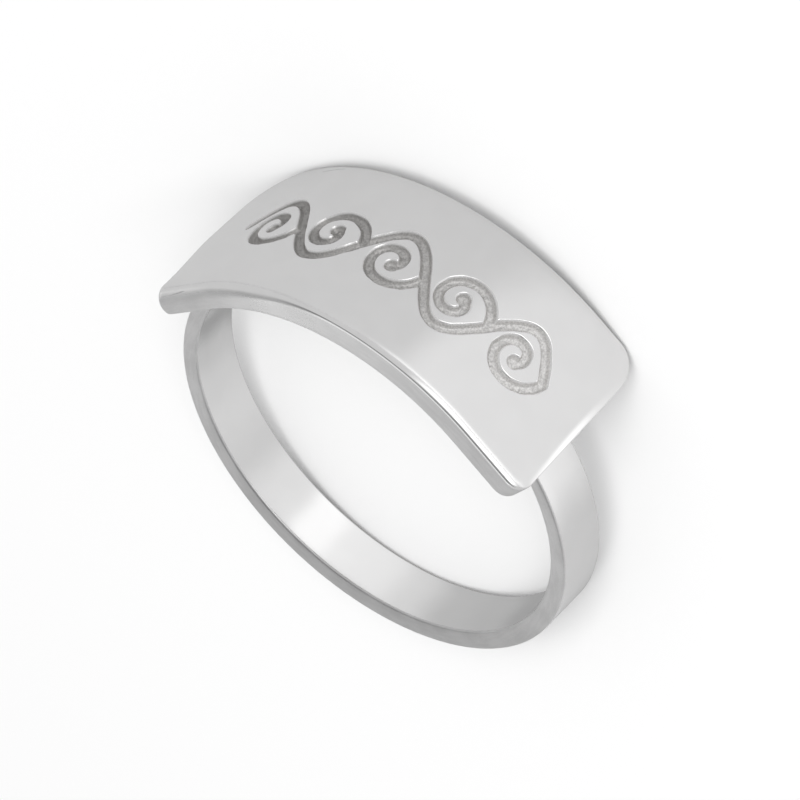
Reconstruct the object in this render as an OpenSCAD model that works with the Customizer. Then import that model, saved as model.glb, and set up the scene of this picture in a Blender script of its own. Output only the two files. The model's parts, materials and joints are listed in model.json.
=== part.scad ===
// A plain flat band with a bent rectangular plate soldered on top of it.
// The plate carries an engraved running scroll.
// The shapes are made with the ring upright: X along the plate, Y along the finger, Z up to the plate.
// Then the whole ring is laid on its side, on the back of the plate and the palm of the band.

/* [Band] */
// Inside diameter of the band
bore_d = 17.2; // [16.6:0.1:17.6]
// Width of the band along the finger
band_w = 2.3; // [1.8:0.1:3.5]
// Thickness of the band at its sides
band_t = 0.72; // [0.6:0.02:0.9]
// How far the outside is set towards the palm, where the band is thickest
palm_shift = 0.2; // [0:0.05:0.3]
// Rounding of the band's edges
band_edge = 0.1; // [0.05:0.01:0.15]

/* [Plate] */
// Length of the plate along its bent outside
plate_l = 20.2; // [19.6:0.1:22]
// Width of the plate along the finger
plate_w = 7.75; // [6:0.25:9]
// Thickness of the plate
plate_t = 1.3; // [1.2:0.05:1.5]
// Radius of the plate's outside where it is bent
bend_r = 10.64; // [10.4:0.04:10.8]
// Angle from the middle of the plate to where its straight ends begin
bend_half = 39; // [30:1:39]
// Height of the plate's outside over the finger's axis
plate_top = 11.12; // [11.04:0.02:11.24]
// How far the plate sits to one side of the band's middle
plate_shift = 0.7; // [0:0.1:0.8]
// Angle by which the bend and the left end are off square
left_skew = 3.5; // [0:0.5:5]
// Angle by which the right end is off square
right_skew = -1; // [-2:0.5:3]
// Rounding of the front left corner, seen from above
front_left_r = 0.4; // [0.3:0.1:2]
// Rounding of the front right corner
front_right_r = 0.7; // [0.3:0.1:2]
// Rounding of the back left corner
back_left_r = 2.3; // [0.3:0.1:2.4]
// Rounding of the back right corner
back_right_r = 1.3; // [0.3:0.1:2.4]
// Rounding of the edge round the plate's underside
under_edge = 0.1; // [0.05:0.01:0.15]

/* [Worn edge] */
// Width of the soft edge round the plate's outside
edge_in = 0.4; // [0.2:0.05:0.5]
// How far the outside drops over that edge
edge_down = 0.12; // [0.1:0.02:0.3]
// Width of the edge at the front left corner, where it is worn
worn_in = 1.4; // [0.4:0.1:1.6]
// Drop of the edge at that corner
worn_down = 0.75; // [0.1:0.05:0.8]
// How far the wear reaches along the front edge
worn_along = 10.6; // [6:0.2:12]
// How far it reaches up the left end
worn_across = 3.6; // [2:0.2:5]

/* [Solder joint] */
// Angle from the top at which the band's shoulders begin
shoulder_at = 58; // [52:1:62]
// Angle by which a shoulder leaves the band's outside
shoulder_lift = 2; // [1:0.5:4]

/* [Engraving] */
// Width of an engraved line
line_w = 0.45; // [0.3:0.05:0.5]
// Depth of an engraved line
line_deep = 0.25; // [0.15:0.05:0.35]
// Number of curls
curls = 5; // [3:1:5]
// Distance from one curl to the next
curl_step = 3.1; // [2.8:0.1:3.2]
// Height of the stem's wave over its middle line
wave_h = 1.4; // [1.1:0.1:1.7]
// Turn of each curl
curl_turn = 420; // [300:10:460]
// Diameter of the bud in the middle of each curl
bud_d = 0.62; // [0.5:0.02:0.7]

/* [Hidden] */
$fn = 96;

bore_r = bore_d / 2;
band_r = bore_r + band_t;
bend_z = plate_top - bend_r;
half_l = plate_l / 2;
half_w = plate_w / 2;
degree = PI / 180;
bend_l = bend_half * degree * bend_r;

bend_steps = 24;
corner_steps = 6;
end_steps = 6;
edge_steps = 5;
corner_least = 0.2;
silver = [0.86, 0.86, 0.87];

// A point of the plate: s along its outside from the middle, y across it, deep under its outside
function plate_at(s, y, deep) =
    let (turn = s / bend_r / degree,
         bent = max(-bend_half, min(bend_half, turn)),
         over = (turn - bent) * degree * bend_r,
         r = bend_r - deep)
    [plate_shift + y * tan(left_skew) + r * sin(bent) + over * cos(bent),
     y,
     bend_z + r * cos(bent) - over * sin(bent)];

// How worn the outside's edge is: 1 at the front left corner, fading along the front and up the left end
function fade(t) = let (u = max(0, min(1, t))) u * u * (3 - 2 * u);
worn_fade = 6.5;
function worn(s, y) = fade((worn_along - half_l - s) / worn_fade) * fade(1 - (y + half_w) / worn_across);

// A level of the plate's border: its share of the soft edge's width and drop, then a fixed inset and depth
function inset(level, wear) = level[2] + level[0] * (edge_in + (worn_in - edge_in) * wear);
function drop(level, wear) = level[3] + level[1] * (edge_down + (worn_down - edge_down) * wear);

// One corner at one level, from the plate's end to its long side
function corner(end, side, r, level) =
    let (wear = worn(end * half_l, side * half_w),
         set_in = inset(level, wear),
         now = max(r - set_in, corner_least))
    [for (i = [0:corner_steps]) let (a = 90 * i / corner_steps)
        [end * (half_l - set_in - now * (1 - cos(a))),
         side * (half_w - set_in - now * (1 - sin(a))),
         drop(level, wear)]];

// Half of an end at one level, from its middle to the corner
function half_end(end, side, r, level) =
    let (reach = abs(corner(end, side, r, level)[0][1]))
    [for (i = [0:end_steps - 1])
        let (t = (i + 0.5) / end_steps, wear = worn(end * half_l, side * t * half_w))
        [end * (half_l - inset(level, wear)), side * t * reach, drop(level, wear)]];

// One long side at one level, from the middle of the left end to the middle of the right end
function side_line(side, left_r, right_r, level) =
    concat(
        half_end(-1, side, left_r, level),
        corner(-1, side, left_r, level),
        [for (i = [0:bend_steps])
            let (s = bend_l * (2 * i / bend_steps - 1), wear = worn(s, side * half_w))
            [s, side * (half_w - inset(level, wear)), drop(level, wear)]],
        backwards(corner(1, side, right_r, level)),
        backwards(half_end(1, side, right_r, level)));
function backwards(list) = [for (i = [len(list) - 1:-1:0]) list[i]];

// The whole border at one level, there along the front and back along the back
function outline(level) =
    [for (p = concat(side_line(-1, front_left_r, front_right_r, level),
                     backwards(side_line(1, back_left_r, back_right_r, level))))
        let (past = max(0, (p[0] - bend_l) / (half_l - bend_l)))
        plate_at(p[0] + p[1] * (tan(right_skew) - tan(left_skew)) * past, p[1], p[2])];

// The levels of the plate's border, from the outside over its soft edge to the underside
plate_levels = concat(
    [for (i = [0:edge_steps]) let (a = 90 * i / edge_steps) [1 - sin(a), 1 - cos(a), 0, 0]],
    [for (i = [0:edge_steps]) let (a = 90 * i / edge_steps)
        [0, 0, under_edge * (1 - cos(a)), plate_t - under_edge * (1 - sin(a))]]);

// A bent slab between borders, the top one first
module slab(levels) {
    loops = [for (level = levels) outline(level)];
    n = len(loops[0]);
    half = n / 2;
    base = (len(levels) - 1) * n;
    walls = [for (k = [0:len(levels) - 2], i = [0:n - 1])
        let (a = k * n + i, b = k * n + (i + 1) % n)
        each [[a, b, b + n], [a, b + n, a + n]]];
    caps = [for (i = [0:half - 2])
        let (a = i, b = i + 1, c = n - 2 - i, d = n - 1 - i)
        each [[a, c, b], [a, d, c],
              [base + a, base + b, base + c], [base + a, base + c, base + d]]];
    polyhedron(points = [for (loop = loops) each loop], faces = concat(walls, caps), convexity = 4);
}

// A round disc about the Y axis with softened edges
module disc(r, w, edge) {
    rotate([90, 0, 0])
        rotate_extrude()
            union() {
                translate([0, -w / 2 + edge]) square([r, w - 2 * edge]);
                translate([0, -w / 2]) square([r - edge, w]);
                for (side = [-1, 1])
                    translate([r - edge, side * (w / 2 - edge)]) circle(edge, $fn = 32);
            }
}

// The finger hole, widened where its edges are softened
module finger_hole() {
    rotate([90, 0, 0])
        rotate_extrude()
            difference() {
                union() {
                    translate([0, -band_w]) square([bore_r, 2 * band_w]);
                    for (side = [-1, 1])
                        translate([0, side * band_w - band_w / 2 - side * band_edge])
                            square([bore_r + band_edge, band_w]);
                }
                for (side = [-1, 1])
                    translate([bore_r + band_edge, side * (band_w / 2 - band_edge)])
                        circle(band_edge, $fn = 32);
            }
}

// Fills the gap between the band and the plate's underside with a shoulder on each side
module shoulders() {
    slope = shoulder_at - shoulder_lift;
    long = band_r;
    foot = [for (side = [-1, 1])
        [side * band_r * sin(shoulder_at), band_r * cos(shoulder_at) - palm_shift]];
    rise = [for (side = [-1, 1]) [-side * long * cos(slope), long * sin(slope)]];
    rotate([90, 0, 0])
        linear_extrude(band_w - 2 * band_edge, center = true)
            intersection() {
                polygon([[0, 0], foot[1], foot[1] + rise[1], foot[0] + rise[0], foot[0]]);
                polygon(concat([[0, 0]], [for (i = [-bend_steps:bend_steps])
                    let (p = plate_at(i / bend_steps * half_l, 0, plate_t / 2)) [p[0], p[2]]]));
            }
}

module band() {
    difference() {
        union() {
            translate([0, 0, -palm_shift]) disc(band_r, band_w, band_edge);
            shoulders();
        }
        finger_hole();
    }
}

// The scroll's centre lines, along the plate and across it
scroll_l = curls * curl_step;
function stem(s) = [s, wave_h * sin(180 * (s + scroll_l / 2) / curl_step)];
stem_steps = 14 * curls;
stem_line = [for (i = [0:stem_steps]) stem(scroll_l * (i / stem_steps - 0.5))];

curl_steps = 22;
curl_inner = 0.3;
function curl_line(k) =
    let (up = k % 2 == 0 ? 1 : -1, middle = curl_step * (k + 0.5) - scroll_l / 2, r = curl_step / 2)
    [for (i = [0:curl_steps])
        let (t = i / curl_steps, a = -curl_turn * t, now = r * pow(curl_inner / r, t))
        [middle + now * cos(a), up * now * sin(a)]];

// A hair-thin ribbon along a line, to be widened to the line's width
module hair(line) {
    thin = 0.005;
    for (i = [0:len(line) - 2]) {
        way = line[i + 1] - line[i];
        across = [-way[1], way[0]] / norm(way) * thin;
        polygon([line[i] - across, line[i + 1] - across, line[i + 1] + across, line[i] + across]);
    }
}

module scroll() {
    offset(r = line_w / 2, $fn = 20) {
        hair(stem_line);
        for (k = [0:curls - 1]) hair(curl_line(k));
    }
    for (k = [0:curls - 1]) {
        line = curl_line(k);
        translate(line[curl_steps]) circle(d = bud_d, $fn = 20);
    }
}

// The scroll is wrapped on the plate in short flat lengths: one on each straight end, the rest on the bend
bend_zones = 7;
zone_turn = 2 * bend_half / bend_zones;
cut_high = 1;

// A stretch of the scroll, from s_low to s_high along the plate, cut square to the plate at one turn
module scroll_stretch(turn, s_low, s_high) {
    at = turn * degree * bend_r;
    translate([plate_shift, 0, bend_z])
        rotate([0, turn, 0])
            translate([-at, 0, bend_r - cut_high])
                linear_extrude(2 * cut_high)
                    intersection() {
                        scroll();
                        translate([s_low, -half_w]) square([s_high - s_low, plate_w]);
                    }
}

module engraving() {
    zone_l = 2 * bend_l / bend_zones;
    intersection() {
        union() {
            scroll_stretch(-bend_half, -half_l, -bend_l);
            for (i = [0:bend_zones - 1])
                scroll_stretch(zone_turn * (i + 0.5) - bend_half, zone_l * i - bend_l,
                               zone_l * (i + 1) - bend_l);
            scroll_stretch(bend_half, bend_l, half_l);
        }
        slab([[0, 0, 0, -cut_high / 2], [0, 0, 0, line_deep]]);
    }
}

module plate() {
    difference() {
        slab(plate_levels);
        engraving();
    }
}

// How the ring lies: tipped until the palm of the band and the plate's back right corner touch the floor
palm = [band_w / 2 - band_edge, band_edge - band_r - palm_shift];
heel = [half_w - under_edge, plate_at(half_l - back_right_r, 0, plate_t - under_edge)[2]];
lean = atan2(heel[0] - palm[0], heel[1] - palm[1]) + asin((under_edge - band_edge) / norm(heel - palm));

// Where a point of the upright ring goes when the ring is laid down
function lying(p) = [-p[0], -p[1] * sin(lean) - p[2] * cos(lean), p[2] * sin(lean) - p[1] * cos(lean)];
plate_points = [for (level = plate_levels) for (p = outline(level)) lying(p)];
left = min(-band_r, min([for (p = plate_points) p[0]]));
right = max(band_r, max([for (p = plate_points) p[0]]));
front = min([for (p = plate_points) p[1]]);
back = palm[0] * sin(lean) - palm[1] * cos(lean) + band_edge;
floor_z = palm[1] * sin(lean) - palm[0] * cos(lean) - band_edge;

module ring() {
    color(silver)
        translate([-(left + right) / 2, -(front + back) / 2, -floor_z])
            rotate([0, 0, 180])
                rotate([lean - 90, 0, 0])
                    union() {
                        plate();
                        band();
                    }
}

ring();
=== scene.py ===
import json
import time

import bpy
import numpy as np
from mathutils import Matrix, Vector
from mathutils.geometry import delaunay_2d_cdt
from mathutils.kdtree import KDTree


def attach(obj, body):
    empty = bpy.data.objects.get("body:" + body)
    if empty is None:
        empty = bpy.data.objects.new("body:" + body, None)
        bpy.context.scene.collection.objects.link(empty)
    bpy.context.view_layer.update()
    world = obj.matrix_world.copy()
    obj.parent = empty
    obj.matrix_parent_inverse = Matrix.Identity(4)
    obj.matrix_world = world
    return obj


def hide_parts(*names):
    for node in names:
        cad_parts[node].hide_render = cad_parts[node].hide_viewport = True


# A silver plate ring lying on its side. Shapes are worked out in millimetres with the ring upright:
# x along the plate, y along the finger, z up to the plate, and zero in the middle of the finger hole.
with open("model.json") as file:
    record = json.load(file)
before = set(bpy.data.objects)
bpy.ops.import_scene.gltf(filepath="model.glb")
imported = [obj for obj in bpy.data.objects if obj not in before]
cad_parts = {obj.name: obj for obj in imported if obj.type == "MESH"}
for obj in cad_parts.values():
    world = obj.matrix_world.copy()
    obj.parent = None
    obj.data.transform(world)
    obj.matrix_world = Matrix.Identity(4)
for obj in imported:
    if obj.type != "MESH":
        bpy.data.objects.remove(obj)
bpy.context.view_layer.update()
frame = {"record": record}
mm = 0.001
started = time.time()


def report(words):
    print(f"{time.time() - started:5.1f} s  {words}")


hole = next(m for m in frame["record"]["mounts"] if m["name"] == "finger_hole")
along = Vector((-1, 0, 0))
across = -Vector(hole["axis"]).normalized()
lying = np.array([along, across, along.cross(across)])  # where the upright ring's x, y and z point
holeMiddle = np.array(hole["pos_m"])


def laid(points):
    # from the upright ring in millimetres to the lying ring in metres
    return np.asarray(points) @ lying * mm + holeMiddle


def smooth(low, high, x):
    # 0 up to low and 1 from high on, with a soft step between
    t = np.clip((x - low) / (high - low), 0, 1)
    return t * t * (3 - 2 * t)


def waves(x, y, rng, step, count=24):
    # seeded unevenness, mostly between -1 and 1, with bumps about step across
    fullTurn, halfTurn, slowest, fastest = 6.283, 3.1416, 0.6, 1.6
    total = np.zeros(np.broadcast(x, y).shape)
    angles, phases = rng.uniform(0, fullTurn, count), rng.uniform(0, fullTurn, count)
    paces = rng.uniform(slowest, fastest, count)
    for angle, phase, pace in zip(angles, phases, paces):
        total += np.sin((x * np.cos(angle) + y * np.sin(angle)) * pace * halfTurn / step + phase)
    return total / np.sqrt(count)


def grid(xs, ys):
    # a point for each x with each y
    gridX, gridY = np.meshgrid(xs, ys, indexing="ij")
    return np.stack([gridX.ravel(), gridY.ravel()], -1)


# The plate

plateSizes = {
    "length": 20.2, "width": 7.75, "thick": 1.3,
    "bendR": 10.64, "bendHalf": 39,  # outside radius, and degrees from the middle to each straight end
    "top": 11.12, "shift": 0.7,  # height over the hole's middle, and how far aside
    "leftSkew": 3.5, "rightSkew": -1,  # degrees that the ends are off square
    "frontLeftR": 0.3, "frontRightR": 0.7, "backLeftR": 2.3, "backRightR": 1.3, "leastR": 0.25,
    "edgeIn": 0.4, "edgeDown": 0.12, "underEdge": 0.1,
    # the front left corner's wear: how far in and down, how far it reaches along the front and up the
    # end, and the length of the front over which it fades
    "wornIn": 1.4, "wornDown": 0.75, "wornAlong": 10.6, "wornAcross": 3.6, "wornFade": 6.5,
    "endSwell": 0.18, "swellPower": 2.2,  # how far the worn end bulges, and how low: 1 is halfway down
    # how far the walls are from polished, 0, to ground, 1, at three places along the plate
    "satinAt": (-8, -3, 8), "wallSatin": (0.95, 0.35, 0.95),
    # degrees of slope at which an edge starts to be ground and is fully ground, plain and worn
    "satinSlope": (87.5, 89.5), "wornSatinSlope": (57.5, 79.5),
    # the soft edge and the worn one from the top to the wall: degrees from and to, mm, steps. Both
    # have the same number of steps in all.
    "softSlopes": ((0, 18, 0.34, 8), (18, 84, 0.1, 8), (84, 90, 0.14, 4)),
    "wornSlopes": ((0, 16, 1.1, 8), (16, 62, 0.3, 5), (62, 86, 0.45, 3), (86, 90, 0.14, 4)),
    "longSteps": 150, "endSteps": 28, "cornerSteps": 12, "wallSteps": 6, "underSteps": 4,
    "fillStep": 0.34, "borderGap": 0.18,  # between the points of a flat face, and from them to its border
}

scrollSizes = {
    "lineWidth": 0.45, "deep": 0.25, "lip": 0.06, "wall": 0.09,
    "curls": 5, "curlStep": 3.1, "waveHeight": 1.4,
    "curlTurn": 420, "curlInner": 0.3, "bud": 0.62,  # degrees, the last radius, and the end's width
    "stemSteps": 24, "curlSteps": 48,  # pieces of the centre line: of the stem for each curl, and of a curl
    "edgeWander": 0.008, "wanderStep": 0.35, "floorRough": 0.02, "seed": 11,
    "fieldMargin": 0.6, "fieldStep": 0.035,  # of the grid on which the lines' edges are found
    "rowStep": 0.05, "floorStep": 0.055, "floorJitter": 0.3,
    # from the lip to the outermost row, from the floor's row to its points, and from the outermost row
    # to the plain top's points
    "outerGap": 0.04, "floorGap": 0.02, "topGap": 0.1,
    "slack": 0.01,  # so that all the points of a row fall on the same side of it
}


def plateAt(s, y, deep):
    # a point of the plate: s along its outside from the middle, y across it, deep under the outside
    p = plateSizes
    s, y, deep = np.broadcast_arrays(np.asarray(s, float), y, deep)
    bendEnd = np.radians(p["bendHalf"])
    bent = np.clip(s / p["bendR"], -bendEnd, bendEnd)
    over = s - bent * p["bendR"]
    r = p["bendR"] - deep
    x = p["shift"] + y * np.tan(np.radians(p["leftSkew"])) + r * np.sin(bent) + over * np.cos(bent)
    z = p["top"] - p["bendR"] + r * np.cos(bent) - over * np.sin(bent)
    return np.stack([x, y, z], -1)


def plateNormal(s):
    # the outward normal of the plate's top
    p = plateSizes
    bendEnd = np.radians(p["bendHalf"])
    bent = np.clip(s / p["bendR"], -bendEnd, bendEnd)
    normal = np.stack([np.sin(bent), -np.tan(np.radians(p["leftSkew"])) * np.sin(bent), np.cos(bent)], -1)
    return normal / np.linalg.norm(normal, axis=-1, keepdims=True)


def worn(s, y):
    # how worn the edge is: 1 at the front left corner, fading along the front and up the left end
    p = plateSizes
    halfL, halfW = p["length"] / 2, p["width"] / 2
    alongFront = smooth(0, p["wornFade"], p["wornAlong"] - halfL - s)
    return alongFront * smooth(0, 1, 1 - (y + halfW) / p["wornAcross"])


def plateBorder(level):
    # the plate's border with its inside on the left: s, y and depth of each point, and its wear.
    # A level is its share of the soft edge's width and drop, the same for the worn edge, then a fixed
    # inset and a fixed depth.
    softIn, softDown, wornIn, wornDown, fixedIn, fixedDown = level
    p = plateSizes
    halfL, halfW = p["length"] / 2, p["width"] / 2
    arc = np.radians(np.linspace(0, 90, p["cornerSteps"] + 1))
    share = (np.arange(p["endSteps"]) + 0.5) / (p["endSteps"] + 0.5)

    def insetOf(wear):
        return fixedIn + softIn * p["edgeIn"] * (1 - wear) + wornIn * p["wornIn"] * wear

    def dropOf(wear):
        return fixedDown + softDown * p["edgeDown"] * (1 - wear) + wornDown * p["wornDown"] * wear

    def corner(end, side, r):
        # half of the plate's end, and the corner that follows it
        wear = worn(end * halfL, side * halfW)
        inset = insetOf(wear)
        r = max(r - inset, p["leastR"])
        reach = halfW - inset - r
        endWear = worn(end * halfL, side * share * halfW)
        swell = p["endSwell"] * np.sin(np.pi * (dropOf(1) / p["thick"]) ** p["swellPower"]) * (end < 0)
        halfS = end * (halfL - insetOf(endWear) + swell * endWear)
        half = np.stack([halfS, side * share * reach, dropOf(endWear), endWear], -1)
        bendS = end * (halfL - inset + swell * wear - r * (1 - np.cos(arc)))
        bendY = side * (reach + r * np.sin(arc))
        bend = np.stack([bendS, bendY, np.full(len(arc), dropOf(wear)), np.full(len(arc), wear)], -1)
        return np.vstack([half, bend])

    lines = []
    front, rear = (-1, p["frontLeftR"], p["frontRightR"]), (1, p["backLeftR"], p["backRightR"])
    for side, leftR, rightR in (front, rear):
        left, right = corner(-1, side, leftR), corner(1, side, rightR)
        s = np.linspace(left[-1, 0], right[-1, 0], p["longSteps"])[1:-1]
        wear = worn(s, side * halfW)
        straight = np.stack([s, side * (halfW - insetOf(wear)), dropOf(wear), wear], -1)
        lines.append(np.vstack([left, straight, right[::-1]]))
    border = np.vstack([lines[0], lines[1][::-1]])
    bendL = np.radians(p["bendHalf"]) * p["bendR"]
    past = np.clip((border[:, 0] - bendL) / (halfL - bendL), 0, None)
    turned = np.tan(np.radians(p["rightSkew"])) - np.tan(np.radians(p["leftSkew"]))
    border[:, 0] += border[:, 1] * turned * past
    return border


def softEdge(runs):
    # shares of an edge's width and drop from the top to the wall, the depth below that, and the slopes.
    # The last run is a slight lean at the top of the wall, below the drop.
    inward, down, slopes = [0.0], [0.0], [0.0]
    for low, high, run, steps in runs:
        for k in range(steps):
            slope = np.radians(low + (high - low) * (k + 0.5) / steps)
            inward.append(inward[-1] + run / steps * np.cos(slope))
            down.append(down[-1] + run / steps * np.sin(slope))
            slopes.append(low + (high - low) * (k + 1) / steps)
    inward, down = np.array(inward), np.array(down)
    edgeEnd = down[-1 - runs[-1][3]]
    return 1 - inward / inward[-1], np.minimum(down / edgeEnd, 1), np.maximum(down - edgeEnd, 0), slopes


def scrollLines():
    # centre lines of the stem and the curls
    c = scrollSizes
    length = c["curls"] * c["curlStep"]
    s = np.linspace(-length / 2, length / 2, c["stemSteps"] * c["curls"] + 1)
    lines = [np.stack([s, c["waveHeight"] * np.sin(np.pi * (s + length / 2) / c["curlStep"])], -1)]
    for k in range(c["curls"]):
        t = np.linspace(0, 1, c["curlSteps"] + 1)
        turn = -np.radians(c["curlTurn"]) * t
        r = c["curlStep"] / 2 * (c["curlInner"] * 2 / c["curlStep"]) ** t
        middle = c["curlStep"] * (k + 0.5) - length / 2
        lines.append(np.stack([middle + r * np.cos(turn), (-1) ** k * r * np.sin(turn)], -1))
    return lines


class Engraving:
    # how far any place on the plate is from the engraved lines, and how deep it is there
    def __init__(self):
        c = scrollSizes
        lines = scrollLines()
        self.a = np.concatenate([line[:-1] for line in lines])
        self.b = np.concatenate([line[1:] for line in lines])
        self.buds = np.array([line[-1] for line in lines[1:]])
        half, lip, wall = c["lineWidth"] / 2, c["lip"], c["wall"]
        self.half = half
        # rows of points beside a line, from outside its lip to its floor: how far from it, and how deep
        self.rows = [half + lip + c["outerGap"], half + lip, half + lip / 2, half,
                     half - wall * 0.4, half - wall, half - wall * 1.5]
        self.deeps = [0, 0, 0.004, 0.025, 0.12, 0.22, c["deep"]]
        self.outermost, self.lipFrom, _, self.cutFrom, self.wallFrom, _, self.floorFrom = self.rows

    def away(self, points):
        c = scrollSizes
        result = np.empty(len(points))
        way = self.b - self.a
        long2 = (way ** 2).sum(1)
        batch = 4000  # points at a time, to save memory
        for i in range(0, len(points), batch):
            part = points[i:i + batch, None, :]
            t = np.clip(((part - self.a) * way).sum(2) / long2, 0, 1)
            lines = np.sqrt(((part - self.a - t[..., None] * way) ** 2).sum(2)).min(1)
            buds = np.sqrt(((part - self.buds) ** 2).sum(2)).min(1) - c["bud"] / 2 + self.half
            result[i:i + batch] = np.minimum(lines, buds)
        uneven = waves(points[:, 0], points[:, 1], np.random.default_rng(c["seed"]), c["wanderStep"])
        return result + c["edgeWander"] * uneven

    def deep(self, away):
        return np.interp(away, self.rows[::-1], self.deeps[::-1])


def loopsAt(field, level, xs, ys):
    # closed lines where a grid of values crosses a level
    links = {}
    above = field > level
    cornersAbove = above[:-1, :-1].astype(int) + above[1:, :-1] + above[:-1, 1:] + above[1:, 1:]
    for i, j in np.argwhere((cornersAbove > 0) & (cornersAbove < 4)):
        corners = [(i, j), (i + 1, j), (i + 1, j + 1), (i, j + 1)]
        crossed = []
        for k in range(4):
            p, q = corners[k], corners[(k + 1) % 4]
            if above[p] != above[q]:
                crossed.append(tuple(sorted([p, q])))
        # where all four sides are crossed, the middle's value says which of them belong together
        if len(crossed) == 4 and above[corners[0]] == (field[i:i + 2, j:j + 2].mean() > level):
            crossed = crossed[1:] + crossed[:1]
        for p, q in zip(crossed[::2], crossed[1::2]):
            links.setdefault(p, []).append(q)
            links.setdefault(q, []).append(p)
    loops = []
    while links:
        edge = start = next(iter(links))
        loop = []
        while edge in links:
            loop.append(edge)
            following = links.pop(edge)
            edge = next((e for e in following if e in links), start)
        points = []
        for p, q in loop:
            t = (level - field[p]) / (field[q] - field[p])
            points.append((xs[p[0]] + t * (xs[q[0]] - xs[p[0]]), ys[p[1]] + t * (ys[q[1]] - ys[p[1]])))
        loops.append(np.array(points))
    return loops


def evenly(loop, step):
    # the same closed line with its points about a step apart, and at least eight of them
    closed = np.vstack([loop, loop[:1]])
    run = np.concatenate([[0], np.cumsum(np.linalg.norm(np.diff(closed, axis=0), axis=1))])
    count = max(8, round(run[-1] / step))
    at = np.linspace(0, run[-1], count, endpoint=False)
    return np.stack([np.interp(at, run, closed[:, 0]), np.interp(at, run, closed[:, 1])], -1)


class MeshParts:
    # points, masks, known normals and faces of one mesh, gathered bit by bit
    def __init__(self):
        self.points, self.masks, self.normals, self.faces = [], [], [], []
        self.count = 0

    def add(self, points, engraved=0.0, ground=0.0, normals=0.0):
        # a normal of zero is worked out from the faces
        first = self.count
        self.points.append(points)
        masks = np.empty((len(points), 2))
        masks[:, 0], masks[:, 1] = engraved, ground
        self.masks.append(masks)
        self.normals.append(np.zeros((len(points), 3)) + normals)
        self.count += len(points)
        return first

    def strip(self, first, second, n):
        # faces between two closed rows of n points
        for i in range(n):
            j = (i + 1) % n
            self.faces.append((first + i, second + i, second + j, first + j))

    def fill(self, border, firstBorder, extra, edges, addMade, flip):
        # triangles between a border that is already in the mesh and the extra points inside it
        n = len(border)
        around = [(i, (i + 1) % n) for i in range(n)]
        inner = [(a + n, b + n) for a, b in edges]
        given = [Vector(p) for p in np.vstack([border, extra])]
        insideOnly, merging = 1, 1e-6
        made, _, faces, origins, _, _ = delaunay_2d_cdt(given, around + inner, [], insideOnly, merging)
        made = np.array([tuple(v) for v in made])
        place = np.array([min((x for x in o if x < n), default=-1) for o in origins])
        fresh = place < 0
        place[~fresh] += firstBorder
        place[fresh] = addMade(made[fresh]) + np.arange(fresh.sum())
        for face in faces:
            face = [int(place[k]) for k in face]
            self.faces.append(tuple(face[::-1] if flip else face))


def insideOf(border, points, margin):
    # which points lie inside a closed line, and not within the margin of its points
    a, b = border, np.roll(border, -1, axis=0)
    x, y = points[:, :1], points[:, 1:]
    crosses = (a[:, 1] > y) != (b[:, 1] > y)
    rise = np.where(b[:, 1] == a[:, 1], 1, b[:, 1] - a[:, 1])
    left = x < (b[:, 0] - a[:, 0]) * (y - a[:, 1]) / rise + a[:, 0]
    near = np.sqrt((x - a[:, 0]) ** 2 + (y - a[:, 1]) ** 2).min(1)
    return ((crosses & left).sum(1) % 2 == 1) & (near > margin)


def plateLevels():
    # the levels of the plate's border from the top to the underside, and the slope at each
    p = plateSizes
    wallEnd = p["thick"] - p["underEdge"]
    softIn, softDown, below, slopes = softEdge(p["softSlopes"])
    wornIn, wornDown, _, _ = softEdge(p["wornSlopes"])
    levels = list(zip(softIn, softDown, wornIn, wornDown, np.zeros(len(below)), below))
    for t in np.linspace(0, 1, p["wallSteps"] + 1)[1:-1]:
        levels.append((0, 1 - t, 0, 1 - t, 0, t * wallEnd + (1 - t) * below[-1]))
    for a in np.radians(np.linspace(0, 90, p["underSteps"] + 1)):
        inset = p["underEdge"] * (1 - np.cos(a))
        levels.append((0, 0, 0, 0, inset, p["thick"] - p["underEdge"] * (1 - np.sin(a))))
    return levels, slopes + slopes[-1:] * (len(levels) - len(slopes))


def addEdges(parts):
    # the plate's edges and walls: the border at each level, and the number of its first point
    p = plateSizes
    levels, slopes = plateLevels()
    borders = [plateBorder(level) for level in levels]
    firsts = []
    for k, border in enumerate(borders):
        s, y, deep, wear = border.T
        slopePairs = zip(p["satinSlope"], p["wornSatinSlope"])
        low, high = (plain + (whereWorn - plain) * wear for plain, whereWorn in slopePairs)
        ground = np.interp(s, p["satinAt"], p["wallSatin"]) * smooth(low, high, slopes[k])
        normals = plateNormal(s) if k == 0 else 0
        firsts.append(parts.add(plateAt(s, y, deep), ground=ground, normals=normals))
    for upper, lower in zip(firsts, firsts[1:]):
        parts.strip(upper, lower, len(borders[0]))
    return borders, firsts


def engravedPoints(engraving, rng):
    # points along the engraved lines and on their floor, and the edges that join them along the lines
    c = scrollSizes
    reach = c["curls"] * c["curlStep"] / 2 + c["fieldMargin"]
    high = c["waveHeight"] + c["fieldMargin"]
    xs, ys = np.arange(-reach, reach, c["fieldStep"]), np.arange(-high, high, c["fieldStep"])
    field = engraving.away(grid(xs, ys)).reshape(len(xs), len(ys))
    report("distances from the engraved lines")
    points, edges = [], []
    for level in engraving.rows:
        for loop in loopsAt(field, level, xs, ys):
            loop = evenly(loop, c["rowStep"])
            first = len(points)
            points += list(loop)
            edges += [(first + i, first + (i + 1) % len(loop)) for i in range(len(loop))]
    floor = grid(np.arange(-reach, reach, c["floorStep"]), np.arange(-high, high, c["floorStep"]))
    floor += rng.uniform(-c["floorJitter"], c["floorJitter"], floor.shape) * c["floorStep"]
    points += list(floor[engraving.away(floor) < engraving.floorFrom - c["floorGap"]])
    return points, edges


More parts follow.
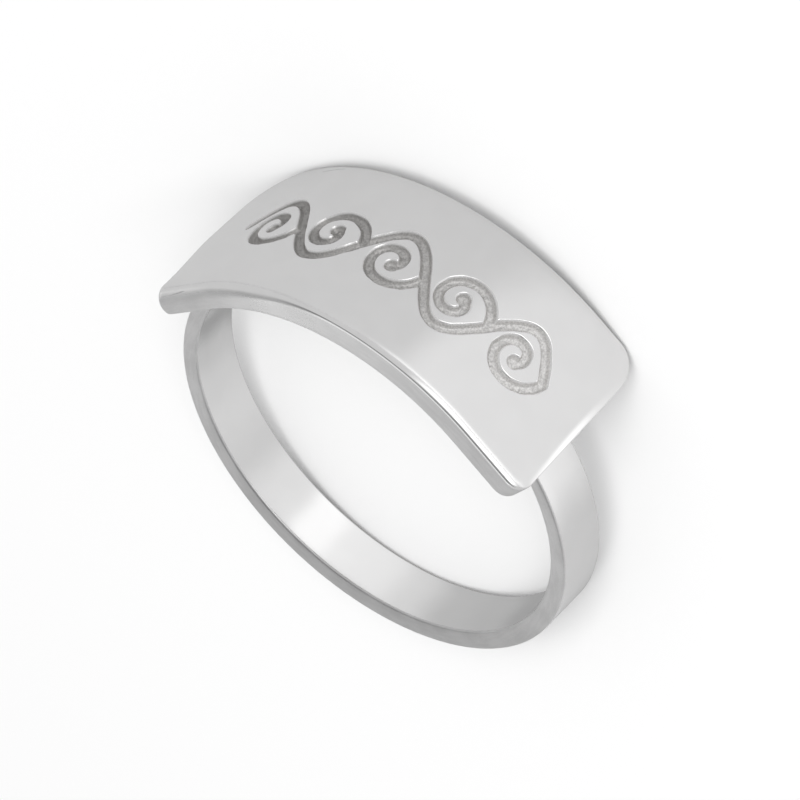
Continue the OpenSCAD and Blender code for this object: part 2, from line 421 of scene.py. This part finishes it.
def makePlate():
    p, c = plateSizes, scrollSizes
    rng = np.random.default_rng(c["seed"])
    parts = MeshParts()
    borders, firsts = addEdges(parts)
    engraving = Engraving()
    extra, edges = engravedPoints(engraving, rng)
    halfL, halfW, step = p["length"] / 2, p["width"] / 2, p["fillStep"]
    ss, ys = np.arange(-halfL, halfL, step), np.arange(-halfW, halfW, step)
    open2d = grid(ss, ys).reshape(len(ss), len(ys), 2)
    open2d[::2, :, 1] += step / 2  # every other row is half a step on
    open2d = open2d.reshape(-1, 2)
    top = open2d[insideOf(borders[0][:, :2], open2d, p["borderGap"])]
    extra += list(top[engraving.away(top) > engraving.outermost + c["topGap"]])

    def engravedTop(made):
        away = engraving.away(made)
        deep = engraving.deep(away)
        inFloor = away < engraving.floorFrom - c["slack"]
        deep[inFloor] += rng.normal(0, c["floorRough"], inFloor.sum())
        engraved = 1 - smooth(engraving.wallFrom, engraving.cutFrom + c["slack"], away)
        normals = plateNormal(made[:, 0]) * (away > engraving.lipFrom - c["slack"])[:, None]
        return parts.add(plateAt(made[:, 0], made[:, 1], deep), engraved=engraved, normals=normals)

    def plainUnder(made):
        s, y = made.T
        return parts.add(plateAt(s, y, p["thick"]), ground=p["wallSatin"][-1], normals=-plateNormal(s))

    parts.fill(borders[0][:, :2], firsts[0], np.array(extra), edges, engravedTop, False)
    report("top of the plate")
    under = open2d[insideOf(borders[-1][:, :2], open2d, p["borderGap"])]
    parts.fill(borders[-1][:, :2], firsts[-1], under, [], plainUnder, True)
    return parts


# The band

bandSizes = {
    "holeR": hole["dims"]["r_mm"], "width": 2.3, "edge": 0.1,
    "thick": 0.72, "palmShift": 0.2,  # at the sides, and how far its outside is shifted to the palm
    "shoulderAt": 58, "shoulderLift": 2,  # degrees from the top, and degrees off the band's outside
    "edgeGround": 0.3,  # the satin is full this share of the edge's radius before the side face
    "steps": 400, "edgeSteps": 4, "rowsAt": (0, 0.3, 0.6),  # round the ring, round an edge, across the faces
}


def bandOutside(turn):
    # how far the band reaches from the hole's middle, at a turn from the top. Its shoulders are straight
    # and end in the middle of the plate's thickness.
    b, p = bandSizes, plateSizes
    r = b["holeR"] + b["thick"]
    start = np.radians(b["shoulderAt"])
    slope = start - np.radians(b["shoulderLift"])
    down = b["palmShift"] * np.cos(turn)
    outside = np.sqrt(r ** 2 - b["palmShift"] ** 2 + down ** 2) - down
    foot = r * np.sin(start) * np.sin(slope) + (r * np.cos(start) - b["palmShift"]) * np.cos(slope)
    steepest = 1.2  # radians, which keeps the shoulder's line finite far from the shoulder
    shoulder = foot / np.cos(np.clip(abs(turn) - slope, -steepest, steepest))
    plateEnd, beyond = p["length"] / 2 - 1, 99  # past that end, the plate is no limit
    middle = plateAt(np.linspace(-plateEnd, plateEnd, 200), 0, p["thick"] / 2)
    turns = np.arctan2(middle[:, 0], middle[:, 2])
    inPlate = np.interp(turn, turns, np.hypot(middle[:, 0], middle[:, 2]), beyond, beyond)
    return np.where(abs(turn) < start, np.minimum(shoulder, inPlate), outside)


def makeBand():
    b = bandSizes
    parts = MeshParts()
    half, e = b["width"] / 2, b["edge"]
    arc = np.radians(np.linspace(0, 90, b["edgeSteps"] + 1))
    # one side of the section from the middle of the inside to the middle of the outside: the share of
    # the way from the inside to the outside, millimetres added to that, and how far across
    side = [(0, 0, y) for y in b["rowsAt"]]
    side += [(0, e * (1 - np.cos(a)), half - e + e * np.sin(a)) for a in arc]
    side += [(0.5, 0, half)]
    side += [(1, -e * (1 - np.sin(a)), half - e + e * np.cos(a)) for a in arc]
    side += [(1, 0, y) for y in b["rowsAt"][::-1]]
    section = side + [(k, d, -y) for k, d, y in side[-2:0:-1]]
    turns = np.linspace(-np.pi, np.pi, b["steps"], endpoint=False)
    firsts = []
    for turn, reach in zip(turns, bandOutside(turns)):
        rows = np.array([(b["holeR"] + (reach - b["holeR"]) * k + d, y) for k, d, y in section])
        ground = smooth(half - e, half - b["edgeGround"] * e, abs(rows[:, 1]))
        points = np.stack([rows[:, 0] * np.sin(turn), rows[:, 1], rows[:, 0] * np.cos(turn)], -1)
        firsts.append(parts.add(points, ground=ground))
    for k, first in enumerate(firsts):
        parts.strip(firsts[(k + 1) % len(firsts)], first, len(section))
    return parts


# Plate and band soldered together

joint = {
    "samePlace": 1e-7,  # metres within which a point of the union is one of the parts' own
    "sharpFrom": 38,  # degrees between two faces from which their edge is sharp
}


def meshOf(name, parts):
    mesh = bpy.data.meshes.new(name)
    mesh.from_pydata(laid(np.vstack(parts.points)).tolist(), [], parts.faces)
    piece = bpy.data.objects.new(name, mesh)
    bpy.context.scene.collection.objects.link(piece)
    return piece


def finishedPoints(piece, parts):
    # where each point of a part lies, which way it faces and its masks
    mesh = piece.data
    spots, faced = np.empty((2, len(mesh.vertices) * 3))
    mesh.vertices.foreach_get("co", spots)
    mesh.vertex_normals.foreach_get("vector", faced)
    known = np.vstack(parts.normals) @ lying
    faced = np.where(abs(known).sum(1, keepdims=True) > 0, known, faced.reshape(-1, 3))
    return np.hstack([spots.reshape(-1, 3), faced, np.vstack(parts.masks)])


def dressJoined(mesh, points):
    # gives the soldered mesh the normals and masks of the parts, which the union loses
    byPlace = KDTree(len(points))
    for k, spot in enumerate(points[:, :3]):
        byPlace.insert(spot, k)
    byPlace.balance()
    found = [byPlace.find(v.co) for v in mesh.vertices]
    near = np.array([k for _, k, _ in found])
    own = np.array([away for _, _, away in found]) < joint["samePlace"]
    for column, mask in ((6, "engraved"), (7, "ground")):
        layer = mesh.attributes.new(mask, "FLOAT", "POINT")
        layer.data.foreach_set("value", points[near, column].astype(np.float32))
    mesh.polygons.foreach_set("use_smooth", np.ones(len(mesh.polygons), bool))
    mesh.set_sharp_from_angle(angle=np.radians(joint["sharpFrom"]))
    corners = np.empty(len(mesh.loops), int)
    mesh.loops.foreach_get("vertex_index", corners)
    mesh.normals_split_custom_set((points[near, 3:6] * own[:, None])[corners])


plateParts = makePlate()
ring = meshOf("name_ring", plateParts)
report(f"plate, {len(ring.data.polygons)} faces")
bandParts = makeBand()
bandPiece = meshOf("band", bandParts)
report(f"band, {len(bandPiece.data.polygons)} faces")
partPoints = np.vstack([finishedPoints(ring, plateParts), finishedPoints(bandPiece, bandParts)])
solder = ring.modifiers.new("solder", "BOOLEAN")
solder.operation, solder.solver, solder.object = "UNION", "EXACT", bandPiece
bpy.context.view_layer.update()
joined = bpy.data.meshes.new_from_object(ring.evaluated_get(bpy.context.evaluated_depsgraph_get()))
ring.modifiers.clear()
ring.data = joined
joined.name = "name_ring"
bpy.data.objects.remove(bandPiece)
dressJoined(joined, partPoints)
report(f"soldered, {len(joined.polygons)} faces")


# Finishes

class Value:
    # wraps one socket of a node tree, so that shader maths reads as arithmetic
    def __init__(self, tree, socket=None):
        self.tree, self.socket = tree, socket

    def node(self, kind, settings, inputs, out=0):
        made = self.tree.nodes.new("ShaderNode" + kind)
        for name, setting in settings.items():
            setattr(made, name, setting)
        for name, given in inputs.items():
            if isinstance(given, Value):
                self.tree.links.new(given.socket, made.inputs[name])
            else:
                made.inputs[name].default_value = given
        return Value(self.tree, made.outputs[out])

    def maths(self, operation, a, b=0.0):
        return self.node("Math", {"operation": operation}, {0: a, 1: b})

    def vectorMaths(self, operation, a, b, out="Vector"):
        return self.node("VectorMath", {"operation": operation}, {0: a, 1: b}, out)

    def __add__(self, other):
        return self.maths("ADD", self, other)

    def __sub__(self, other):
        return self.maths("SUBTRACT", self, other)

    def __rsub__(self, other):
        return self.maths("SUBTRACT", other, self)

    def __mul__(self, other):
        return self.maths("MULTIPLY", self, other)

    __radd__, __rmul__ = __add__, __mul__

    def fade(self, low, high):
        # 0 at low and 1 at high, whichever is larger, with a soft step between
        return self.node("MapRange", {"interpolation_type": "SMOOTHSTEP"},
                         {"Value": self, "From Min": low, "From Max": high})


silverLook = {
    # the palm's satin is the satin made darker: painted shade
    "polished": (0.93, 0.926, 0.926), "satin": (0.79, 0.787, 0.787), "satinPalm": (0.65, 0.647, 0.647),
    # the dark cut colour is the cut metal with painted shade, the light one with painted light
    # the pits' dark grey is painted shade in them
    "cutDark": (0.45, 0.44, 0.43), "cutLight": (0.82, 0.81, 0.8), "pitted": (0.3, 0.3, 0.3),
    # in mm, lying: y from the palm's darker satin, painted shade, to the rest, and x from the cuts' darker
    # colour, painted shade, to their lighter one, painted light
    "palmFade": (9.5, 3), "cutFade": (6, -8),
    # how dark and how light each finish gets, and the noise values between which it changes
    "polishedShades": (0.985, 1), "satinShades": (0.93, 1.05), "cutShades": (0.85, 1.12),
    "polishedNoise": (0.4, 0.6), "satinNoise": (0.38, 0.62), "cutNoise": (0.35, 0.65),
    "polishedRough": (0.16, 0.05), "satinRough": (0.42, 0.2), "cutRough": (0.5, 0.3),  # and its spread
    "blotch": 0.9, "streak": 7, "grain": 16, "cutGrain": 14,  # bumps per millimetre
    "streakPace": 0.15,  # how slowly a streak changes along its length, to 1 across it
    "mottle": (0.4, 0.35, 0.25),  # shares of blotch, streak and grain in the satin's colour
    "bump": 0.00002, "bumpStrength": 0.5,  # metres, and the heights below are shares of it
    "streakHigh": 0.12, "grainHigh": 0.035, "pitDeep": 0.8,
    "pits": 0.6, "pitR": 0.06, "pitCore": 0.4,  # cells per mm, radius in cells, and its fully dark share
    # a nick's width in mm, how ragged it is, where it fades from and to in widths, and how dark its painted
    # shade is
    "nickWide": 0.022, "nickRagged": 1.5, "nickFade": (1.6, 0.6), "nickDark": 0.45,
    # both ends of each, lying, in mm
    "nicks": [((5.7, -8.4, 0.8), (4.6, -9.1, 0.7)), ((7.6, -5.4, 7.6), (6.9, -6.1, 7.7))],
}


def silverFinish():
    look = silverLook
    silver = bpy.data.materials.new("silver")
    silver.use_nodes = True
    tree = silver.node_tree
    shader = tree.nodes["Principled BSDF"]
    start = Value(tree)
    place = start.node("TexCoord", {}, {}, "Object")
    place = start.node("VectorMath", {"operation": "SCALE"}, {0: place, "Scale": 1 / mm})
    x, y, z = (start.node("SeparateXYZ", {}, {"Vector": place}, k) for k in range(3))
    flatPlace = start.vectorMaths("MULTIPLY", place, (1, 1, 0))
    outwards = start.vectorMaths("DISTANCE", flatPlace, tuple(holeMiddle[:2] / mm) + (0,), "Value")
    slowX, slowY = x * look["streakPace"], y * look["streakPace"]
    roundRing = start.node("CombineXYZ", {}, {"X": slowX, "Y": slowY, "Z": outwards + z})
    cut = start.node("Attribute", {"attribute_name": "engraved"}, {}, "Fac")
    satin = start.node("Attribute", {"attribute_name": "ground"}, {}, "Fac")

    def noise(vector, scale, detail=3):
        return start.node("TexNoise", {}, {"Vector": vector, "Scale": scale, "Detail": detail})

    def mixed(factor, first, second):
        first, second = (c if isinstance(c, Value) else tuple(c) + (1,) for c in (first, second))
        return start.node("Mix", {"data_type": "RGBA"}, {"Factor": factor, 6: first, 7: second}, 2)

    def shaded(colour, shade, shades):
        # a colour made darker where the shade is 0 and lighter where it is 1
        least, most = shades
        return mixed(shade, [least * c for c in look[colour]], [min(1, most * c) for c in look[colour]])

    def roughness(finish, uneven):
        middle, spread = look[finish]
        return middle + (uneven - 0.5) * spread

    blotch, grain = noise(place, look["blotch"]), noise(place, look["grain"])
    streak, cutGrain = noise(roundRing, look["streak"], 4), noise(place, look["cutGrain"])
    # pits and nicks are dented by the bump, and their colour is darkened too: painted shade in them
    cell = start.node("TexVoronoi", {}, {"Vector": place, "Scale": look["pits"]})
    pit = satin * (1 - cell.fade(look["pitR"] * look["pitCore"], look["pitR"]))
    for first, last in look["nicks"]:
        way = Vector(last) - Vector(first)
        offset = start.vectorMaths("SUBTRACT", place, first)
        run = start.vectorMaths("DOT_PRODUCT", offset, way / way.length_squared, "Value")
        run = start.node("Clamp", {}, {"Value": run})
        nearest = start.node("VectorMath", {"operation": "SCALE"}, {0: tuple(way), "Scale": run})
        nick = start.vectorMaths("DISTANCE", offset, nearest, "Value")
        nick = nick + (grain - 0.5) * look["nickWide"] * look["nickRagged"]
        nick = nick.fade(*(look["nickWide"] * widths for widths in look["nickFade"]))
        pit = pit + nick * look["nickDark"]
    blotchShare, streakShare, grainShare = look["mottle"]
    mottled = (blotch * blotchShare + streak * streakShare + grain * grainShare).fade(*look["satinNoise"])
    # the satin at the palm is a darker copy of the satin: painted shade at the palm
    palm, others = (shaded(colour, mottled, look["satinShades"]) for colour in ("satinPalm", "satin"))
    worked = mixed(y.fade(*look["palmFade"]), palm, others)
    polish = shaded("polished", blotch.fade(*look["polishedNoise"]), look["polishedShades"])
    speckled = cutGrain.fade(*look["cutNoise"])
    # the cuts are darker at the plate's left and lighter at its right: painted shade and painted light from
    # the reflected surroundings, over the cut metal's own duller grey
    dark, light = (shaded(colour, speckled, look["cutShades"]) for colour in ("cutDark", "cutLight"))
    cutColour = mixed(x.fade(*look["cutFade"]), dark, light)
    base = mixed(pit, mixed(cut, mixed(satin, polish, worked), cutColour), look["pitted"])
    rough = roughness("polishedRough", blotch)
    rough = rough * (1 - satin) + satin * roughness("satinRough", grain)
    rough = rough * (1 - cut) + cut * roughness("cutRough", cutGrain)
    toolMarks = streak * look["streakHigh"] + grain * look["grainHigh"]
    height = satin * toolMarks + cut * cutGrain - pit * look["pitDeep"]
    given = {"Height": height, "Distance": look["bump"], "Strength": look["bumpStrength"]}
    bump = start.node("Bump", {}, given)
    shader.inputs["Metallic"].default_value = 1
    tree.links.new(base.socket, shader.inputs["Base Color"])
    tree.links.new(rough.socket, shader.inputs["Roughness"])
    tree.links.new(bump.socket, shader.inputs["Normal"])
    return silver


joined.materials.clear()
joined.materials.append(silverFinish())
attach(ring, "root")
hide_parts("ring")


# Camera, floor and light

view = {
    "towards": (0.4215, -0.5041, 0.7538), "up": (-0.4348, 0.6172, 0.6558),  # seen from the upright ring
    "aim": (-0.3881, 1.1909, 1.0134), "distance": 833.3,  # millimetres
    "lens": 965.1, "sensor": 36, "clip": (0.1, 5),
}


def makeCamera():
    towards, up, aim = (np.array(view[k]) for k in ("towards", "up", "aim"))
    camera = bpy.data.objects.new("camera", bpy.data.cameras.new("camera"))
    bpy.context.scene.collection.objects.link(camera)
    back = Vector(towards @ lying).normalized()
    right = Vector(up @ lying).cross(back).normalized()
    facing = Matrix([right, back.cross(right), back]).transposed()
    stand = Vector(laid(aim + towards * view["distance"]))
    camera.matrix_world = Matrix.Translation(stand) @ facing.to_4x4()
    camera.data.lens = view["lens"]
    camera.data.sensor_width = view["sensor"]
    camera.data.clip_start, camera.data.clip_end = view["clip"]
    return camera


bpy.context.scene.camera = makeCamera()

studio = {
    "floor": 0.92, "floorSize": 3, "floorRough": 0.9, "sky": 0.61,
    "softbox": 4.2, "softboxAt": (-0.2, -0.3, 0.5), "softboxSize": 0.45,
}

# the floor that the metal reflects, in metres: a greyer one with a lighter side and some glows, all painted
# light in its colour
mirrorLook = {
    "height": 0.00002, "tone": 0.57,
    "lighter": 0.7, "lighterX": (-0.004, -0.009), "lighterY": (0.001, -0.003),  # where it starts and is full
    # a glow's middle, reach and tone, and the share of its reach where the tone is full
    "glows": [((-0.019, -0.004), 0.0095, 0.84), ((-0.0195, -0.0085), 0.005, 1.1),
              ((-0.07, -0.1), 0.09, 1.1)],
    "glowCore": 0.25,
    "opening": (0.0089, 0.0087),  # from the finger hole's middle: where it is closed, and where it is open
}

# the drum that the band's inside reflects through the finger hole
drumLook = {
    "radius": 0.5, "depth": 0.6, "height": -0.35, "sides": 96,
    # degrees clockwise from -Y, and tone
    "tones": [(-120, 0.38), (-95, 0.48), (-60, 0.52), (-36, 0.72), (-16, 0.88), (8, 0.93), (17, 1.09),
              (29, 1.1), (38, 0.83), (52, 0.8), (73, 0.655), (97, 0.71), (122, 0.66), (147, 0.56),
              (173, 0.35)],
}

# cards that only the metal reflects: bearing and height in degrees, how many degrees wide and tall,
# tone, and the share of each side that fades out
cardDistance = 0.5
cards = {
    "dark_card": (88, 66, 84, 68, 0.2, 0.2),
    "grey_card": (44, 34, 32, 15, 0.35, 0.3),
    "light_strip": (60, 28, 90, 8, 1.1, 0.3),
    "white_card": (-132, 18, 56, 40, 1.7, 0.35),
}


def paperOn(piece, name):
    # names a piece, and gives it a material of the same name
    piece.name = name
    paper = bpy.data.materials.new(name)
    paper.use_nodes = True
    piece.data.materials.append(paper)
    return paper.node_tree


def stagePlane(name, size, place=(0, 0, 0)):
    bpy.ops.mesh.primitive_plane_add(size=size, location=place)
    plane = bpy.context.object
    tree = paperOn(plane, name)
    return plane, tree


def onlyReflected(piece):
    piece.visible_camera = piece.visible_diffuse = piece.visible_shadow = False


def emitting(tree, strength):
    # makes a material give light only
    tree.nodes.remove(tree.nodes["Principled BSDF"])
    lit = Value(tree).node("Emission", {}, {"Color": (1, 1, 1, 1), "Strength": strength})
    tree.links.new(lit.socket, tree.nodes["Material Output"].inputs["Surface"])


def matt(name, size, place=(0, 0, 0)):
    plane, tree = stagePlane(name, size, place)
    shader = tree.nodes["Principled BSDF"]
    shader.inputs["Roughness"].default_value = studio["floorRough"]
    shader.inputs["Specular IOR Level"].default_value = 0
    return plane, tree, shader


def whiteFloor():
    floor, _, shader = matt("floor", studio["floorSize"])
    shader.inputs["Base Color"].default_value = (studio["floor"],) * 3 + (1,)
    floor.visible_glossy = False


def mirroredFloor():
    look = mirrorLook
    mirrored, tree, shader = matt("mirrored_floor", studio["floorSize"], (0, 0, look["height"]))
    onlyReflected(mirrored)
    start = Value(tree)
    place = start.node("TexCoord", {}, {}, "Object")
    x, y = (start.node("SeparateXYZ", {}, {"Vector": place}, k) for k in (0, 1))
    # painted light: a lighter side and soft glows in the floor's colour
    lighter = x.fade(*look["lighterX"]) * y.fade(*look["lighterY"])
    tone = look["tone"] + lighter * (look["lighter"] - look["tone"])
    for middle, reach, level in look["glows"]:
        glow = start.vectorMaths("DISTANCE", place, middle + (0,), "Value")
        glow = glow.fade(reach, reach * look["glowCore"])
        tone = tone + glow * (level - tone)
    away = start.vectorMaths("DISTANCE", place, tuple(holeMiddle[:2]) + (0,), "Value")
    opening = away.fade(*look["opening"])
    grey = start.node("CombineColor", {}, {0: tone, 1: tone, 2: tone})
    tree.links.new(grey.socket, shader.inputs["Base Color"])
    tree.links.new((1 - opening).socket, shader.inputs["Alpha"])


def drum():
    # an open drum below the floor, with soft light and dark stretches round it
    look = drumLook
    bpy.ops.mesh.primitive_cylinder_add(vertices=look["sides"], radius=look["radius"], depth=look["depth"],
                                        end_fill_type="NOTHING", location=(0, 0, look["height"]))
    side = bpy.context.object
    tree = paperOn(side, "drum")
    start = Value(tree)
    spot = start.node("TexCoord", {}, {}, "Object")
    x, y = (start.node("SeparateXYZ", {}, {"Vector": spot}, k) for k in (0, 1))
    turn = start.maths("ARCTAN2", 0 - x, 0 - y) * (180 / np.pi)
    before, tone = look["tones"][0]
    for reach, level in look["tones"][1:]:
        tone = tone + turn.fade(before, reach) * (level - tone)
        before = reach
    emitting(tree, tone)
    onlyReflected(side)


def card(name, bearing, height, wide, tall, tone, soft):
    # a lit card facing the ring
    bearing, height = np.radians(bearing), np.radians(height)
    flatWay = Vector((np.cos(bearing), np.sin(bearing), 0))
    way = flatWay * np.cos(height) + Vector((0, 0, np.sin(height)))
    plane, tree = stagePlane(name, 1, way * cardDistance)
    plane.rotation_euler = way.to_track_quat("Z", "Y").to_euler()
    width, length = (2 * cardDistance * np.tan(np.radians(angle) / 2) for angle in (wide, tall))
    plane.scale = (width, length, 1)
    start = Value(tree)
    spot = start.node("TexCoord", {}, {}, "UV")
    acrossCard, upCard = (start.node("SeparateXYZ", {}, {"Vector": spot}, k) for k in (0, 1))
    inside = acrossCard.fade(0, soft) * acrossCard.fade(1, 1 - soft)
    inside = inside * upCard.fade(0, soft) * upCard.fade(1, 1 - soft)
    emitting(tree, studio["sky"] + inside * (tone - studio["sky"]))
    onlyReflected(plane)


def sky():
    world = bpy.data.worlds.new("studio")
    bpy.context.scene.world = world
    world.use_nodes = True
    background = world.node_tree.nodes["Background"]
    background.inputs["Color"].default_value = (1, 1, 1, 1)
    background.inputs["Strength"].default_value = studio["sky"]


def softbox():
    # a square lamp facing the ring, which the metal doesn't reflect
    size, place = studio["softboxSize"], studio["softboxAt"]
    lamp = bpy.data.lights.new("softbox", "AREA")
    lamp.shape, lamp.size, lamp.size_y = "RECTANGLE", size, size
    lamp.energy = studio["softbox"] * size * size * np.pi
    box = bpy.data.objects.new("softbox", lamp)
    bpy.context.scene.collection.objects.link(box)
    box.location = place
    box.rotation_euler = Vector(place).to_track_quat("Z", "Y").to_euler()
    box.visible_glossy = False


whiteFloor()
mirroredFloor()
drum()
for name, made in cards.items():
    card(name, *made)
sky()
softbox()
bpy.context.scene.view_settings.view_transform = "Standard"
report("floor and lights")

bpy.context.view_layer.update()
report("done")
